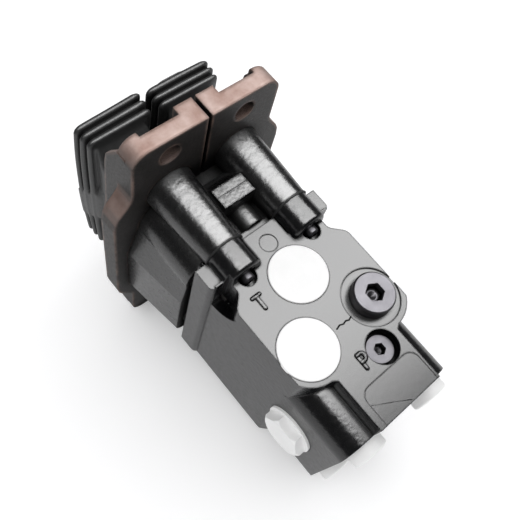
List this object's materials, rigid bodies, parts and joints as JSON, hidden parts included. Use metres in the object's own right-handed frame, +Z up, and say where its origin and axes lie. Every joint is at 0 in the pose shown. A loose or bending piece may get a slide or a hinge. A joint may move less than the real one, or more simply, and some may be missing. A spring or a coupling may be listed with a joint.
{
  "type": "foot pilot valve",
  "caption": "Two-pedal hydraulic foot pilot valve with damper casing, flanged covers, rubber bellows and capped ports; each tilting cam pushes spring-loaded rods onto metering spools.",
  "frame": {"origin": "centre of the mounting hole pattern, on the covers' underside that lies on the cab floor plate", "axes": "+Z up to the pedals, -Y towards the face with the supply and return ports, +X to the right seen from that face"},
  "size_m": [0.099, 0.17, 0.1975],
  "materials": {
    "casing_paint": "semi-gloss black paint on cast iron",
    "cover_steel": "machined and lightly oiled",
    "cam_steel": "phosphated",
    "bare_steel": "ground",
    "dark_steel": "phosphated",
    "spring_steel": "oil tempered",
    "bronze": "machined",
    "seal_rubber": "matte",
    "bellows_rubber": "matte",
    "white_plastic": "moulded"
  },
  "bodies": {
    "valve_body": {"lower_casing": "casing_paint", "separator_plate": "bare_steel", "upper_casing": "casing_paint", "left_cover": "cover_steel", "right_cover": "cover_steel", "tie_bolts": "dark_steel", "rod_guides": "bronze", "rod_seals": "seal_rubber", "separator_seals": "seal_rubber", "chamber_seals": "seal_rubber", "damper_seals": "seal_rubber", "t_port_cap": "white_plastic", "p_port_cap": "white_plastic", "outlet_caps": "white_plastic", "side_port_plug": "white_plastic", "shuttle_plug": "dark_steel", "shuttle_plug_seal": "seal_rubber", "gauge_plug": "dark_steel", "gauge_plug_seal": "seal_rubber", "gallery_plug": "casing_paint", "shaft_set_screws": "dark_steel", "left_front_return_spring": "spring_steel", "left_front_balance_spring": "spring_steel", "left_rear_return_spring": "spring_steel", "left_rear_balance_spring": "spring_steel", "right_front_return_spring": "spring_steel", "right_front_balance_spring": "spring_steel", "right_rear_return_spring": "spring_steel", "right_rear_balance_spring": "spring_steel", "left_cam_shaft": "bare_steel", "left_bellows": "bellows_rubber", "right_cam_shaft": "bare_steel", "right_bellows": "bellows_rubber"},
    "left_front_rod": {"left_front_push_rod": "bare_steel", "left_front_piston": "bare_steel", "left_front_spring_seat": "bare_steel"},
    "left_front_spool": {"left_front_spool": "bare_steel"},
    "left_rear_rod": {"left_rear_push_rod": "bare_steel", "left_rear_piston": "bare_steel", "left_rear_spring_seat": "bare_steel"},
    "left_rear_spool": {"left_rear_spool": "bare_steel"},
    "right_front_rod": {"right_front_push_rod": "bare_steel", "right_front_piston": "bare_steel", "right_front_spring_seat": "bare_steel"},
    "right_front_spool": {"right_front_spool": "bare_steel"},
    "right_rear_rod": {"right_rear_push_rod": "bare_steel", "right_rear_piston": "bare_steel", "right_rear_spring_seat": "bare_steel"},
    "right_rear_spool": {"right_rear_spool": "bare_steel"},
    "left_cam": {"left_cam": "cam_steel", "left_cam_bush": "bronze"},
    "right_cam": {"right_cam": "cam_steel", "right_cam_bush": "bronze"}
  },
  "joints": [
    {"name": "left_tilt", "type": "hinge", "parent": "valve_body", "child": "left_cam", "pos_m": [-0.02, 0, 0.02], "axis": [1, 0, 0], "range_deg": [-12.4, 12.4], "stiffness_Nm_per_rad": 6, "deforming": ["left_bellows"]},
    {"name": "right_tilt", "type": "hinge", "parent": "valve_body", "child": "right_cam", "pos_m": [0.02, 0, 0.02], "axis": [1, 0, 0], "range_deg": [-12.4, 12.4], "stiffness_Nm_per_rad": 6, "deforming": ["right_bellows"]},
    {"name": "left_front_rod_slide", "type": "slide", "parent": "valve_body", "child": "left_front_rod", "axis": [0, 0, 1], "range_m": [-0.0055, 0.0055], "deforming": ["left_front_return_spring", "left_front_balance_spring"]},
    {"name": "left_front_spool_slide", "type": "slide", "parent": "valve_body", "child": "left_front_spool", "axis": [0, 0, 1], "range_m": [-0.0015, 0], "stiffness_N_per_m": 2500},
    {"name": "left_rear_rod_slide", "type": "slide", "parent": "valve_body", "child": "left_rear_rod", "axis": [0, 0, 1], "range_m": [-0.0055, 0.0055], "deforming": ["left_rear_return_spring", "left_rear_balance_spring"]},
    {"name": "left_rear_spool_slide", "type": "slide", "parent": "valve_body", "child": "left_rear_spool", "axis": [0, 0, 1], "range_m": [-0.0015, 0], "stiffness_N_per_m": 2500},
    {"name": "right_front_rod_slide", "type": "slide", "parent": "valve_body", "child": "right_front_rod", "axis": [0, 0, 1], "range_m": [-0.0055, 0.0055], "deforming": ["right_front_return_spring", "right_front_balance_spring"]},
    {"name": "right_front_spool_slide", "type": "slide", "parent": "valve_body", "child": "right_front_spool", "axis": [0, 0, 1], "range_m": [-0.0015, 0], "stiffness_N_per_m": 2500},
    {"name": "right_rear_rod_slide", "type": "slide", "parent": "valve_body", "child": "right_rear_rod", "axis": [0, 0, 1], "range_m": [-0.0055, 0.0055], "deforming": ["right_rear_return_spring", "right_rear_balance_spring"]},
    {"name": "right_rear_spool_slide", "type": "slide", "parent": "valve_body", "child": "right_rear_spool", "axis": [0, 0, 1], "range_m": [-0.0015, 0], "stiffness_N_per_m": 2500}
  ],
  "couplings": [
    {"joint": "left_front_rod_slide", "follows": "left_tilt", "m_per_rad": -0.0247},
    {"joint": "left_rear_rod_slide", "follows": "left_tilt", "m_per_rad": 0.0247},
    {"joint": "right_front_rod_slide", "follows": "right_tilt", "m_per_rad": -0.0247},
    {"joint": "right_rear_rod_slide", "follows": "right_tilt", "m_per_rad": 0.0247}
  ]
}
